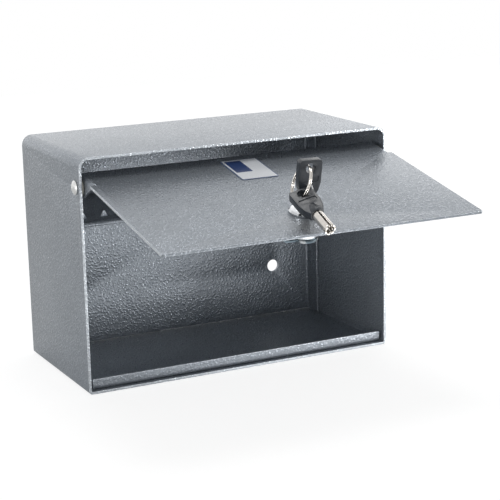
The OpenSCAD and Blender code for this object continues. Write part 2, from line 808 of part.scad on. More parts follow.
// Split ring: two flat turns of wire that cross over in one place
module key_ring() {
    pitch = ring_wire + seat_gap;
    cross = 20;
    steps = 72;
    from = cross + 2;
    to = 720 - from;
    color("silver") on_lock() translate(ring_at) rotate(ring_turns)
        coil([for (i = [0 : steps]) let (a = from + (to - from) * i / steps)
              [ring_d / 2, a, pitch / 2 * max(-1, min(1, (a - 360) / cross))]], ring_wire, 8);
}

housing_shell();
back_pan();
sill();
shelf();
hinge_rivets();
hinge_washers();
hinge_spacers();
door_panel();
label_plate();
lock_shell();
lock_nut();
tooth_washer();
pin_block();
driver_pins();
pin_springs();
retaining_pin();
lock_spindle();
key_pins();
stop_washer();
cam();
cam_washer();
cam_screw();
key_tube();
key_head();
key_ring();
spare_tube();
spare_head();
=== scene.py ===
import bmesh
import bpy
import json
from math import copysign, cos, radians, sin, sqrt
from mathutils import Matrix, Vector


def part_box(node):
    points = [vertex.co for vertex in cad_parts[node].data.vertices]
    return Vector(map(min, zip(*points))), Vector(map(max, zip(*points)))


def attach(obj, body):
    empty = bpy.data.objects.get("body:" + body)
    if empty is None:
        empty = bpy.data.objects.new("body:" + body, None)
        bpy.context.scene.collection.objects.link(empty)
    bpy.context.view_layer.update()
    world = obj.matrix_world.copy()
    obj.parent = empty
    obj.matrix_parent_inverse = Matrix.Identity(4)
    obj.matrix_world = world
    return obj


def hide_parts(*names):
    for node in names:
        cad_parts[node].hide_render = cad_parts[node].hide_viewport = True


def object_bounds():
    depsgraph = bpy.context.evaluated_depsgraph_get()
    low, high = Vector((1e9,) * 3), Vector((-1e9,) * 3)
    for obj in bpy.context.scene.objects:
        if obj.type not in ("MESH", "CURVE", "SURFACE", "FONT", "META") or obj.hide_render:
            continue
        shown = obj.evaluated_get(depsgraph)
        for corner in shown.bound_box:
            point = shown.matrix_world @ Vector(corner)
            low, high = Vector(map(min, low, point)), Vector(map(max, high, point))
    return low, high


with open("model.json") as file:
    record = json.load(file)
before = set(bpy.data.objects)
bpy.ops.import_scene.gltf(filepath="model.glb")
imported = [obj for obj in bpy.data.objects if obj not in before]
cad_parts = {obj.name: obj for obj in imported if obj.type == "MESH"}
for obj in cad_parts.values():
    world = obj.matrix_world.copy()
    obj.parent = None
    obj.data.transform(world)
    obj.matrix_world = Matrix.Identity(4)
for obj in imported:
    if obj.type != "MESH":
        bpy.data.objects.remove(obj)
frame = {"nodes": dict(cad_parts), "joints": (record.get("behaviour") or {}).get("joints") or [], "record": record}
cad_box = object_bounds()
scene = bpy.context.scene
scene.view_settings.view_transform = "Standard"


# The view: the box stands on a white sweep and is seen from its left front, a little
# above the door, through a long lens about 1.3 m away. The matrix holds the camera's
# right, up and backward directions in the box's own frame.
camera = bpy.data.objects.new("camera", bpy.data.cameras.new("camera"))
camera.data.sensor_width = 36
camera.data.lens = 113.2
camera.data.clip_start = 0.01
looking = Matrix(((0.892981, -0.449517, -0.022778),
                  (0.123471, 0.195984, 0.972803),
                  (-0.432828, -0.871507, 0.230513))).transposed()
camera.matrix_world = Matrix.Translation((-0.50748, -1.16005, 0.27852)) @ looking.to_4x4()
scene.collection.objects.link(camera)
scene.camera = camera


def linear(sheet_colour):
    """Shader colour of an sRGB hex colour."""
    parts = [int(sheet_colour[i:i + 2], 16) / 255 for i in (0, 2, 4)]
    return tuple(p / 12.92 if p <= 0.04045 else ((p + 0.055) / 1.055) ** 2.4 for p in parts) + (1.0,)


def add(tree, kind, sockets=None, **settings):
    """Adds a node with its settings; each socket gets a value or a link."""
    made = tree.nodes.new(kind)
    for name, value in settings.items():
        setattr(made, name, value)
    for key, value in (sockets or {}).items():
        if isinstance(value, bpy.types.NodeSocket):
            tree.links.new(value, made.inputs[key])
        else:
            made.inputs[key].default_value = value
    return made


# The studio: a softbox overhead, a lit wall and a softbox behind, low white cards around
# the front that light the inside under the door, and even light from the room.
def softbox(name, place, target, width, height, watts):
    lamp = bpy.data.lights.new(name, "AREA")
    lamp.shape, lamp.size, lamp.size_y, lamp.energy = "RECTANGLE", width, height, watts
    holder = bpy.data.objects.new(name, lamp)
    aim = (Vector(target) - Vector(place)).to_track_quat("-Z", "Y")
    holder.matrix_world = Matrix.Translation(place) @ aim.to_matrix().to_4x4()
    scene.collection.objects.link(holder)


softbox("overhead softbox", (0.17, 0.08, 1.5), (0, -0.12, 0), 0.7, 0.5, 6)
softbox("back wall", (0.3, 2.0, 1.1), (0.3, 0, 1.1), 3.6, 2.2, 9)
softbox("back right softbox", (1.3, 1.1, 0.75), (0, 0, 0.08), 1.0, 0.8, 2)
softbox("low right card", (1.35, -0.75, -0.025), (-0.1, 0, -0.03), 1.2, 0.11, 15)
softbox("left side card", (-1.7, -0.6, 0.03), (0.1, -0.1, 0), 0.8, 0.2, 8)
softbox("low front card", (0.1, -2.0, -0.02), (-0.05, -0.1, -0.02), 1.0, 0.12, 1.4)

world = bpy.data.worlds.new("studio")
scene.world = world
world.use_nodes = True
room = world.node_tree
room.nodes.clear()
ray = add(room, "ShaderNodeLightPath")
sees_paper = add(room, "ShaderNodeMath", {0: ray.outputs["Is Camera Ray"], 1: ray.outputs["Is Glossy Ray"]},
                 operation="MAXIMUM")
paper = add(room, "ShaderNodeBackground", {"Color": linear("FFFFFF"), "Strength": 1.0})
air = add(room, "ShaderNodeBackground", {"Color": linear("F4F6F8"), "Strength": 0.3})
shown = add(room, "ShaderNodeMixShader", {0: sees_paper.outputs[0], 1: air.outputs[0], 2: paper.outputs[0]})
add(room, "ShaderNodeOutputWorld", {"Surface": shown.outputs[0]})


def material(name):
    """A material, its tree, its shader and the object coordinates in metres."""
    made = bpy.data.materials.new(name)
    made.use_nodes = True
    tree = made.node_tree
    return made, tree, tree.nodes["Principled BSDF"], add(tree, "ShaderNodeTexCoord").outputs["Object"]


# White paper sweep. What the camera sees is lifted to the white of the photograph, and
# the shadow under the box is kept.
sweep, tree, shade, spot = material("white paper sweep")
fibre = add(tree, "ShaderNodeTexNoise", {"Vector": spot, "Scale": 1 / 0.003, "Detail": 4.0})
pulp = add(tree, "ShaderNodeMix", {0: fibre.outputs["Fac"], 6: linear("E6E6E4"), 7: linear("ECECEB")}, data_type="RGBA")
tree.links.new(pulp.outputs[2], shade.inputs["Base Color"])
shade.inputs["Roughness"].default_value = 0.9
ray = add(tree, "ShaderNodeLightPath")
# A pool of light is painted on the paper in front of the door. It glows only for glossy rays, so the coat shows it as a
# painted reflection.
painted_pool_x, painted_pool_y, painted_pool_r = 0.06, -0.3, 0.22
painted_pool_place = add(tree, "ShaderNodeMapping", {
    "Vector": spot, "Scale": (1 / painted_pool_r, 1 / painted_pool_r, 0), "Location": (-painted_pool_x / painted_pool_r, -painted_pool_y / painted_pool_r, 0)})
painted_pool = add(tree, "ShaderNodeTexGradient", {"Vector": painted_pool_place.outputs[0]}, gradient_type="SPHERICAL")
painted_pool_colour = add(tree, "ShaderNodeMix", {0: painted_pool.outputs["Fac"], 6: linear("4C4C4C"), 7: linear("FFFFFF")}, data_type="RGBA")
painted_pool_glow = add(tree, "ShaderNodeEmission", {"Color": painted_pool_colour.outputs[2], "Strength": 3.5})
shade_with_painted_pool = add(tree, "ShaderNodeAddShader", {0: shade.outputs[0], 1: painted_pool_glow.outputs[0]})
unseen = add(tree, "ShaderNodeMixShader", {0: ray.outputs["Is Glossy Ray"], 1: shade.outputs[0], 2: shade_with_painted_pool.outputs[0]})
white = add(tree, "ShaderNodeEmission", {"Color": linear("FFFFFF"), "Strength": 1.4})
print_white = add(tree, "ShaderNodeMixShader", {0: 0.4, 1: white.outputs[0], 2: shade.outputs[0]})
seen = add(tree, "ShaderNodeMixShader", {0: ray.outputs["Is Camera Ray"], 1: unseen.outputs[0], 2: print_white.outputs[0]})
tree.links.new(seen.outputs[0], tree.nodes["Material Output"].inputs["Surface"])
ground = bpy.data.meshes.new("floor")
ground.from_pydata([(-3, -3, 0), (3, -3, 0), (3, 1.5, 0), (-3, 1.5, 0)], [], [(0, 1, 2, 3)])
ground.transform(Matrix.Translation((0, 0, cad_box[0][2] - 0.0004)))
ground.materials.append(sweep)
floor = bpy.data.objects.new("floor", ground)
scene.collection.objects.link(floor)


# Silver hammertone powder coat: aluminium flake in a glossy grey resin. As it flows in
# the oven it draws up into smooth pebbles under 2 mm across with sunken valleys between,
# and a fine orange peel lies over both. Over a cut edge it is thinner, and its brighter
# colour there is partly a painted highlight.
def hammertone(name, valley, pebble, fleck, metal):
    made, tree, shade, spot = material(name)
    drift = add(tree, "ShaderNodeTexNoise", {"Vector": spot, "Scale": 1 / 0.0036, "Detail": 2.0})
    pulled = add(tree, "ShaderNodeVectorMath", {0: drift.outputs["Color"], 1: (0.0018, 0.0018, 0.0018), 2: spot},
                 operation="MULTIPLY_ADD")
    cells = add(tree, "ShaderNodeTexVoronoi", {"Vector": pulled.outputs[0], "Scale": 1 / 0.0019, "Smoothness": 0.6},
                feature="SMOOTH_F1")
    crown = add(tree, "ShaderNodeMapRange", {"Value": cells.outputs["Distance"], "From Min": 0.1, "From Max": 0.62,
                                             "To Min": 1.0, "To Max": 0.0}, interpolation_type="SMOOTHSTEP")
    peel = add(tree, "ShaderNodeTexNoise", {"Vector": spot, "Scale": 1 / 0.0009, "Detail": 2.0})
    relief = add(tree, "ShaderNodeMath", {0: peel.outputs["Fac"], 1: 0.25, 2: crown.outputs[0]},
                 operation="MULTIPLY_ADD")
    pitted = add(tree, "ShaderNodeBump", {"Height": relief.outputs[0], "Strength": 1.0, "Distance": 0.0002})
    flake = add(tree, "ShaderNodeTexNoise", {"Vector": spot, "Scale": 1 / 0.0006, "Detail": 1.0})
    glint = add(tree, "ShaderNodeMapRange", {"Value": flake.outputs["Fac"], "From Min": 0.55, "From Max": 0.72})
    cloud = add(tree, "ShaderNodeTexNoise", {"Vector": spot, "Scale": 1 / 0.035, "Detail": 3.0})
    drawn = add(tree, "ShaderNodeMix", {0: crown.outputs[0], 6: linear(valley), 7: linear(pebble)}, data_type="RGBA")
    flecked = add(tree, "ShaderNodeMix", {0: glint.outputs[0], 6: drawn.outputs[2], 7: linear(fleck)}, data_type="RGBA")
    uneven = add(tree, "ShaderNodeMapRange", {"Value": cloud.outputs["Fac"], "From Min": 0.3, "From Max": 0.7,
                                              "To Min": 0.96, "To Max": 1.04})
    toned = add(tree, "ShaderNodeVectorMath", {0: flecked.outputs[2], 3: uneven.outputs[0]}, operation="SCALE")
    gloss = add(tree, "ShaderNodeMapRange", {"Value": crown.outputs[0], "To Min": 0.37, "To Max": 0.24})
    tree.links.new(toned.outputs[0], shade.inputs["Base Color"])
    tree.links.new(gloss.outputs[0], shade.inputs["Roughness"])
    tree.links.new(pitted.outputs[0], shade.inputs["Normal"])
    shade.inputs["Metallic"].default_value = metal
    return made


coat = hammertone("silver hammertone powder coat", "82888F", "969CA4", "ACB1B7", 0.5)
# The thin coat's pale colours are partly a painted highlight along rims, bevels and cut edges.
thin_coat_and_painted_highlight = hammertone("hammertone drawn thin over an edge with painted highlight", "B4BAC0", "CDD2D7", "E2E6EA", 0.65)


# The housing: one sheet of 2 mm steel folded round and welded into a tube, open at the
# front and coated inside and out, with a hole through each side for the hinge rivet.
body_of = {node: body for body, nodes in frame["record"]["behaviour"]["bodies"].items() for node in nodes}


def finished(piece, turn=34):
    """Applies the piece's modifiers and shades it smooth up to that angle."""
    depsgraph = bpy.context.evaluated_depsgraph_get()
    mesh = bpy.data.meshes.new_from_object(piece.evaluated_get(depsgraph), depsgraph=depsgraph)
    piece.modifiers.clear()
    piece.data = mesh
    mesh.shade_smooth()
    mesh.set_sharp_from_angle(angle=radians(turn))
    return piece


def whole(node, reshape=None):
    """A new piece with the node's shape, its loose triangles joined into whole faces."""
    mesh = frame["nodes"][node].data.copy()
    mesh.materials.clear()
    form = bmesh.new()
    form.from_mesh(mesh)
    bmesh.ops.remove_doubles(form, verts=form.verts, dist=2e-6)
    if reshape:
        reshape(form)
    bmesh.ops.dissolve_limit(form, angle_limit=radians(0.4), verts=form.verts, edges=form.edges)
    for face in form.faces:
        face.material_index = 0
    form.to_mesh(mesh)
    form.free()
    piece = bpy.data.objects.new(node + "_piece", mesh)
    scene.collection.objects.link(piece)
    return piece


def stands_for(piece, node):
    """The piece takes the node's place on its body."""
    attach(piece, body_of[node])
    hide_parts(node)
    return piece


def eased(node, width, skins, steps=3, reshape=None):
    """The node with its edges rounded; a second skin goes on the rounded edges."""
    piece = whole(node, reshape)
    for skin in skins:
        piece.data.materials.append(skin)
    edge = piece.modifiers.new("eased edges", "BEVEL")
    edge.width, edge.segments, edge.angle_limit = width, steps, radians(30)
    # Rounded edges take the last skin; with the coat that is the thin coat, partly a painted highlight.
    edge.material = len(skins) - 1
    return stands_for(finished(piece), node)


def cut_edge(piece, place, out):
    """Gives the second skin to the faces of one flat cut edge."""
    for face in piece.data.polygons:
        if face.normal.dot(out) > 0.5 and abs((face.center - Vector(place)).dot(out)) < 0.0003:
            face.material_index = 1


shell = eased("housing_shell", 0.0005, (coat, thin_coat_and_painted_highlight))
# The shell's front cut edge takes the thin coat, partly a painted highlight.
cut_edge(shell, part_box("housing_shell")[0], Vector((0, -1, 0)))


# The back pan: a plate with a flange folded forward along each side wall and four wall
# holes. It is spot welded to the side walls, and each weld leaves a shallow ringed dimple.
eased("back_pan", 0.0005, (coat, thin_coat_and_painted_highlight))


def field_tree(name, values):
    """A Geometry Nodes group that takes a mesh and named values, and gives a mesh."""
    group = bpy.data.node_groups.new(name, "GeometryNodeTree")
    group.interface.new_socket(name="Mesh", in_out="INPUT", socket_type="NodeSocketGeometry")
    for label, value in values.items():
        kind = "NodeSocketInt" if isinstance(value, int) else "NodeSocketFloat"
        group.interface.new_socket(name=label, in_out="INPUT", socket_type=kind).default_value = value
    group.interface.new_socket(name="Mesh", in_out="OUTPUT", socket_type="NodeSocketGeometry")
    return group, add(group, "NodeGroupInput"), add(group, "NodeGroupOutput")


def grown(piece, group, **values):
    """Runs the group on the piece with these values and keeps the mesh."""
    maker = piece.modifiers.new(group.name, "NODES")
    maker.node_group = group
    for item in group.interface.items_tree:
        if item.in_out == "INPUT" and item.name in values:
            maker[item.identifier] = values[item.name]
    return finished(piece)


# One weld is a low ring of squeezed metal around a shallow dish. Rows of them follow the
# edges of the host mesh, each facing as its edge says.
welds, given, made = field_tree("rows of spot welds", {"Welds in a row": 4, "Radius": 0.003, "Rise": 0.00014})
outer = add(welds, "GeometryNodeMeshCone", {"Vertices": 24, "Radius Bottom": given.outputs["Radius"],
                                            "Depth": given.outputs["Rise"]}, fill_type="NONE")
lip = add(welds, "ShaderNodeMath", {0: given.outputs["Radius"], 1: 0.86}, operation="MULTIPLY")
dish = add(welds, "ShaderNodeMath", {0: given.outputs["Radius"], 1: 0.66}, operation="MULTIPLY")
welds.links.new(lip.outputs[0], outer.inputs["Radius Top"])
inner = add(welds, "GeometryNodeMeshCone", {"Vertices": 24, "Radius Bottom": dish.outputs[0],
                                            "Radius Top": lip.outputs[0]}, fill_type="NONE")
drop = add(welds, "ShaderNodeMath", {0: given.outputs["Rise"], 1: 0.8}, operation="MULTIPLY")
welds.links.new(drop.outputs[0], inner.inputs["Depth"])
foot = add(welds, "ShaderNodeMath", {0: given.outputs["Rise"], 1: 0.2}, operation="MULTIPLY")
raised = add(welds, "ShaderNodeCombineXYZ", {"Z": foot.outputs[0]})
inner_up = add(welds, "GeometryNodeTransform", {"Geometry": inner.outputs[0], "Translation": raised.outputs[0]})
base = add(welds, "GeometryNodeMeshCircle", {"Vertices": 24, "Radius": dish.outputs[0]}, fill_type="NGON")
base_up = add(welds, "GeometryNodeTransform", {"Geometry": base.outputs[0], "Translation": raised.outputs[0]})
one = add(welds, "GeometryNodeJoinGeometry")
for part in (base_up, inner_up, outer):
    welds.links.new(part.outputs[0], one.inputs[0])
closed = add(welds, "GeometryNodeMergeByDistance", {"Geometry": one.outputs[0], "Distance": 0.00001})
rows = add(welds, "GeometryNodeMeshToCurve", {"Mesh": given.outputs["Mesh"]})
marks = add(welds, "GeometryNodeResampleCurve", {"Curve": rows.outputs[0], "Count": given.outputs["Welds in a row"]})
facing = add(welds, "GeometryNodeInputNamedAttribute", {"Name": "facing"}, data_type="FLOAT_VECTOR")
turned = add(welds, "FunctionNodeAlignRotationToVector", {"Vector": facing.outputs[0]}, axis="Z")
laid = add(welds, "GeometryNodeInstanceOnPoints", {"Points": marks.outputs[0], "Instance": closed.outputs[0],
                                                   "Rotation": turned.outputs[0]})
real = add(welds, "GeometryNodeRealizeInstances", {"Geometry": laid.outputs[0]})
skin = add(welds, "GeometryNodeSetMaterial", {"Geometry": real.outputs[0], "Material": coat})
welds.links.new(skin.outputs[0], made.inputs["Mesh"])


def weld_rows(name, rows, host, **values):
    """Spot welds along rows given as start, end and the direction they face."""
    mesh = bpy.data.meshes.new(name)
    mesh.from_pydata([end for row in rows for end in row[:2]], [(2 * i, 2 * i + 1) for i in range(len(rows))], [])
    facing = mesh.attributes.new("facing", "FLOAT_VECTOR", "POINT")
    facing.data.foreach_set("vector", [c for row in rows for c in (*row[2], *row[2])])
    piece = bpy.data.objects.new(name, mesh)
    scene.collection.objects.link(piece)
    grown(piece, welds, **values)
    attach(piece, "housing")


pan_low, pan_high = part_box("back_pan")
pan_face = pan_high[0] - 0.002
weld_rows("pan_spot_welds", [((s * pan_face, -0.0105, pan_low[2] + 0.012), (s * pan_face, -0.0105, pan_high[2] - 0.022),
                              (-s, 0, 0)) for s in (-1, 1)], "back_pan", **{"Welds in a row": 5})


# The sill: an angle on the floor behind the door's lower edge, spot welded through its
# leg. The cam catches behind its upright lip.
sill = eased("sill", 0.0005, (coat, thin_coat_and_painted_highlight))
sill_low, sill_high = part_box("sill")
# The sill's top cut edge takes the thin coat, partly a painted highlight.
cut_edge(sill, sill_high, Vector((0, 0, 1)))
weld_rows("sill_spot_welds", [((sill_low[0] + 0.016, sill_high[1] - 0.006, sill_low[2] + 0.002),
                               (sill_high[0] - 0.016, sill_high[1] - 0.006, sill_low[2] + 0.002), (0, 0, 1))],
          "sill", **{"Welds in a row": 6})


# The shelf: 1.5 mm sheet under the slot with a hemmed front edge and a row of pointed
# teeth turned up along its opening, so that nothing can be fished out through the slot.
shelf = eased("shelf", 0.00035, (coat, thin_coat_and_painted_highlight))
shelf_low, shelf_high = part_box("shelf")
tooth_foot = 0.0384
# Every face of the teeth above this height takes the pale thin coat: a painted highlight where light catches them.
for face in shelf.data.polygons:
    if face.center.z > tooth_foot:
        face.material_index = 1
flange_face = shelf_high[0] - 0.0015
weld_rows("shelf_spot_welds", [((s * flange_face, -0.103, 0.0333), (s * flange_face, -0.028, 0.0317), (-s, 0, 0))
                               for s in (-1, 1)], "shelf", **{"Welds in a row": 3, "Radius": 0.0026})


# Hinge rivets: plain aluminium, drawn and headed, with the dull skin that headed rivets
# keep. A zinc plated washer and a nylon spacer hold each ear off its neighbours.
rivet_skin, tree, shade, spot = material("headed aluminium")
worn = add(tree, "ShaderNodeTexNoise", {"Vector": spot, "Scale": 1 / 0.0025, "Detail": 4.0})
fine = add(tree, "ShaderNodeTexNoise", {"Vector": spot, "Scale": 1 / 0.0003, "Detail": 2.0})
tone = add(tree, "ShaderNodeMix", {0: worn.outputs["Fac"], 6: linear("C9CACA"), 7: linear("E2E2E0")}, data_type="RGBA")
dull = add(tree, "ShaderNodeMapRange", {"Value": worn.outputs["Fac"], "To Min": 0.24, "To Max": 0.5})
dents = add(tree, "ShaderNodeBump", {"Height": fine.outputs["Fac"], "Strength": 0.5, "Distance": 0.00003})
tree.links.new(tone.outputs[2], shade.inputs["Base Color"])
tree.links.new(dull.outputs[0], shade.inputs["Roughness"])
tree.links.new(dents.outputs[0], shade.inputs["Normal"])
shade.inputs["Metallic"].default_value = 1.0
eased("hinge_rivets", 0.0002, (rivet_skin,))

# Zinc plate with a clear passivate: a cool grey with faint cloudy colour and drum marks.
def zinc_plate(name, *colours):
    made, tree, shade, spot = material(name)
    haze = add(tree, "ShaderNodeTexNoise", {"Vector": spot, "Scale": 1 / 0.006, "Detail": 3.0})
    marks = add(tree, "ShaderNodeTexNoise", {"Vector": spot, "Scale": 1 / 0.0004, "Detail": 3.0})
    tint = add(tree, "ShaderNodeValToRGB", {"Fac": haze.outputs["Fac"]})
    ramp = tint.color_ramp.elements
    for stop, place, colour in zip((ramp[0], ramp[1], ramp.new(0.5)), (0.3, 0.72, 0.5), colours):
        stop.position, stop.color = place, linear(colour)
    dull = add(tree, "ShaderNodeMapRange", {"Value": marks.outputs["Fac"], "To Min": 0.2, "To Max": 0.44})
    dents = add(tree, "ShaderNodeBump", {"Height": marks.outputs["Fac"], "Strength": 0.4, "Distance": 0.00003})
    tree.links.new(tint.outputs["Color"], shade.inputs["Base Color"])
    tree.links.new(dull.outputs[0], shade.inputs["Roughness"])
    tree.links.new(dents.outputs[0], shade.inputs["Normal"])
    shade.inputs["Metallic"].default_value = 1.0
    return made


zinc = zinc_plate("zinc plate with clear passivate", "A9B3BA", "C6C4BC", "BAC3C8")
eased("hinge_washers", 0.00015, (zinc,))

# Natural nylon: milky, a little waxy, with a fine moulded grain.
nylon, tree, shade, spot = material("natural moulded nylon")
grain = add(tree, "ShaderNodeTexNoise", {"Vector": spot, "Scale": 1 / 0.0005, "Detail": 3.0})
milk = add(tree, "ShaderNodeMix", {0: grain.outputs["Fac"], 6: linear("D6D2C4"), 7: linear("E8E5DB")}, data_type="RGBA")
dents = add(tree, "ShaderNodeBump", {"Height": grain.outputs["Fac"], "Strength": 0.3, "Distance": 0.00003})
tree.links.new(milk.outputs[2], shade.inputs["Base Color"])
tree.links.new(dents.outputs[0], shade.inputs["Normal"])
shade.inputs["Roughness"].default_value = 0.45
eased("hinge_spacers", 0.0001, (nylon,))


# The door: one flat sheet with an ear turned back at each end of its top edge, coated
# like the housing. The rivets pass through the ears, and it swings out and up.
door = eased("door_panel", 0.0005, (coat, thin_coat_and_painted_highlight))
swing = {j["name"]: j for j in frame["joints"]}["lock_turn"]
door_down = Vector((1, 0, 0)).cross(Vector(swing["axis"])).normalized()
door_low, door_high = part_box("door_panel")
# The door's side and lower cut edges take the thin coat, partly a painted highlight.
for place, out in ((door_low, Vector((-1, 0, 0))), (door_high, Vector((1, 0, 0))), (door_low, door_down)):
    cut_edge(door, place, out)


# The label: a blank printed film on the door below the hinge, pale with one plain
# coloured field and a thin border. It carries no words or marks.
label_low, label_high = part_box("label_plate")
label_span = Vector(label_high) - Vector(label_low)
label_skin, tree, shade, spot = material("blank printed film")
place = add(tree, "ShaderNodeMapRange", {6: spot, 7: label_low, 8: label_high}, data_type="FLOAT_VECTOR")
axes = add(tree, "ShaderNodeSeparateXYZ", {0: place.outputs["Vector"]})


def between(value, low, high):
    """One where the value lies between low and high, with a crisp printed edge."""
    span = add(tree, "ShaderNodeMath", {0: value, 1: (low + high) / 2, 2: (high - low) / 2}, operation="COMPARE")
    return span.outputs[0]


field = add(tree, "ShaderNodeMath", {0: between(axes.outputs["X"], 0.08, 0.52), 1: between(axes.outputs["Y"], 0.36, 0.94)},
            operation="MULTIPLY")
panel = add(tree, "ShaderNodeMath", {0: between(axes.outputs["X"], 0.03, 0.97), 1: between(axes.outputs["Y"], 0.02, 0.98)},
            operation="MULTIPLY")
mottle = add(tree, "ShaderNodeTexNoise", {"Vector": spot, "Scale": 1 / 0.002, "Detail": 3.0})
film = add(tree, "ShaderNodeMix", {0: mottle.outputs["Fac"], 6: linear("E6EAEF"), 7: linear("F3F5F8")}, data_type="RGBA")
ink = add(tree, "ShaderNodeMix", {0: mottle.outputs["Fac"], 6: linear("1F3564"), 7: linear("2A4478")}, data_type="RGBA")
bordered = add(tree, "ShaderNodeMix", {0: panel.outputs[0], 6: linear("5C6C8C"), 7: film.outputs[2]}, data_type="RGBA")
printed = add(tree, "ShaderNodeMix", {0: field.outputs[0], 6: bordered.outputs[2], 7: ink.outputs[2]}, data_type="RGBA")
skin = add(tree, "ShaderNodeBump", {"Height": mottle.outputs["Fac"], "Strength": 0.2, "Distance": 0.00004})
tree.links.new(printed.outputs[2], shade.inputs["Base Color"])
tree.links.new(skin.outputs[0], shade.inputs["Normal"])
shade.inputs["Roughness"].default_value = 0.32
eased("label_plate", 0.00012, (label_skin,))


# The lock's place on the door: its own X runs across the door and Z points out of it.
joint = {j["name"]: j for j in frame["joints"]}["lock_turn"]
lock_out = Vector(joint["axis"]).normalized()
lock_up = lock_out.cross(Vector((1, 0, 0)))
lock = Matrix.Translation(joint["pos_m"]) @ Matrix((Vector((1, 0, 0)), lock_up, lock_out)).transposed().to_4x4()
to_lock = lock.inverted()

# The lock shell: zinc alloy die casting, tumbled, copper and nickel plated and chromed.
# The bezel keeps fine polishing lines; the barrel behind it has a thread on its rounds.
chrome, tree, shade, spot = material("bright chrome plate")
smear = add(tree, "ShaderNodeTexNoise", {"Vector": spot, "Scale": 1 / 0.005, "Detail": 4.0})
lines = add(tree, "ShaderNodeTexNoise", {"Vector": spot, "Scale": 1 / 0.0002, "Detail": 3.0})
tone = add(tree, "ShaderNodeMix", {0: smear.outputs["Fac"], 6: linear("B6B9BC"), 7: linear("CDCFD1")}, data_type="RGBA")
dull = add(tree, "ShaderNodeMapRange", {"Value": smear.outputs["Fac"], "To Min": 0.06, "To Max": 0.22})
dents = add(tree, "ShaderNodeBump", {"Height": lines.outputs["Fac"], "Strength": 0.25, "Distance": 0.00002})
tree.links.new(tone.outputs[2], shade.inputs["Base Color"])
tree.links.new(dull.outputs[0], shade.inputs["Roughness"])
tree.links.new(dents.outputs[0], shade.inputs["Normal"])
shade.inputs["Metallic"].default_value = 1.0
thread_root, thread_crest, half_flats = 0.0091, 0.00947, 0.008


def to_thread_root(form):
    """Takes the rounds of the barrel behind the door down to the root of its thread."""
    for depth in (0.0021, 0.0023):
        bmesh.ops.bisect_plane(form, geom=form.verts[:] + form.edges[:] + form.faces[:],
                               plane_co=lock @ Vector((0, 0, -depth)), plane_no=lock_out)
    for v in form.verts:
        p = to_lock @ v.co
        if p.z < -0.0022 and thread_crest < Vector((p.x, p.y)).length < 0.0097:
            side = min(abs(p.x) if abs(p.x) > half_flats - 1e-5 else abs(p.x) * thread_root / 0.0095, half_flats)
            p.x, p.y = copysign(side, p.x), copysign(sqrt(thread_root ** 2 - side ** 2), p.y)
            v.co = lock @ p


eased("lock_shell", 0.0003, (chrome,), reshape=to_thread_root)

# The thread: a ridge wound around the barrel and cut away where the two flats are.
wound, given, made = field_tree("thread cut by two flats", {"Turns": 12.5, "Pitch": 0.001, "Root radius": 0.00912,
                                                            "Ridge": 0.00035, "Half across flats": 0.00795})
rise = add(wound, "ShaderNodeMath", {0: given.outputs["Turns"], 1: given.outputs["Pitch"]}, operation="MULTIPLY")
helix = add(wound, "GeometryNodeCurveSpiral", {"Resolution": 72, "Rotations": given.outputs["Turns"],
                                               "Start Radius": given.outputs["Root radius"],
                                               "End Radius": given.outputs["Root radius"], "Height": rise.outputs[0]})
section = add(wound, "GeometryNodeCurvePrimitiveCircle", {"Resolution": 4, "Radius": given.outputs["Ridge"]})
ridge = add(wound, "GeometryNodeCurveToMesh", {"Curve": helix.outputs[0], "Profile Curve": section.outputs[0],
                                               "Fill Caps": True})
at = add(wound, "ShaderNodeSeparateXYZ", {0: add(wound, "GeometryNodeInputPosition").outputs[0]})
least = add(wound, "ShaderNodeMath", {0: 0.0, 1: given.outputs["Half across flats"]}, operation="SUBTRACT")
cut = add(wound, "ShaderNodeClamp", {"Value": at.outputs["X"], "Min": least.outputs[0],
                                     "Max": given.outputs["Half across flats"]})
flat = add(wound, "ShaderNodeCombineXYZ", {"X": cut.outputs[0], "Y": at.outputs["Y"], "Z": at.outputs["Z"]})
trimmed = add(wound, "GeometryNodeSetPosition", {"Geometry": ridge.outputs[0], "Position": flat.outputs[0]})
skin = add(wound, "GeometryNodeSetMaterial", {"Geometry": trimmed.outputs[0], "Material": chrome})
wound.links.new(skin.outputs[0], made.inputs["Mesh"])
barrel_thread = bpy.data.objects.new("barrel_thread", bpy.data.meshes.new("barrel_thread"))
scene.collection.objects.link(barrel_thread)
grown(barrel_thread, wound)
barrel_thread.data.transform(lock @ Matrix.Translation((0, 0, -0.0149)))
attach(barrel_thread, "door")
# The nut, the toothed washer and what turns behind them are zinc plated.
eased("lock_nut", 0.0003, (zinc,))
eased("tooth_washer", 0.0001, (zinc,))


# Inside the lock: a brass block with drivers and springs behind a steel spindle that
# carries the key pins. The brass keeps the fine rings of the lathe tool.
brass, tree, shade, spot = material("turned brass")
rings = add(tree, "ShaderNodeTexWave", {"Vector": spot, "Scale": 1 / 0.0012, "Distortion": 2.0}, wave_type="RINGS")
stain = add(tree, "ShaderNodeTexNoise", {"Vector": spot, "Scale": 1 / 0.003, "Detail": 3.0})
tone = add(tree, "ShaderNodeMix", {0: stain.outputs["Fac"], 6: linear("B8934A"), 7: linear("D8B868")}, data_type="RGBA")
cuts = add(tree, "ShaderNodeBump", {"Height": rings.outputs["Fac"], "Strength": 0.3, "Distance": 0.00002})
tree.links.new(tone.outputs[2], shade.inputs["Base Color"])
tree.links.new(cuts.outputs[0], shade.inputs["Normal"])
shade.inputs["Metallic"].default_value = 1.0
shade.inputs["Roughness"].default_value = 0.3

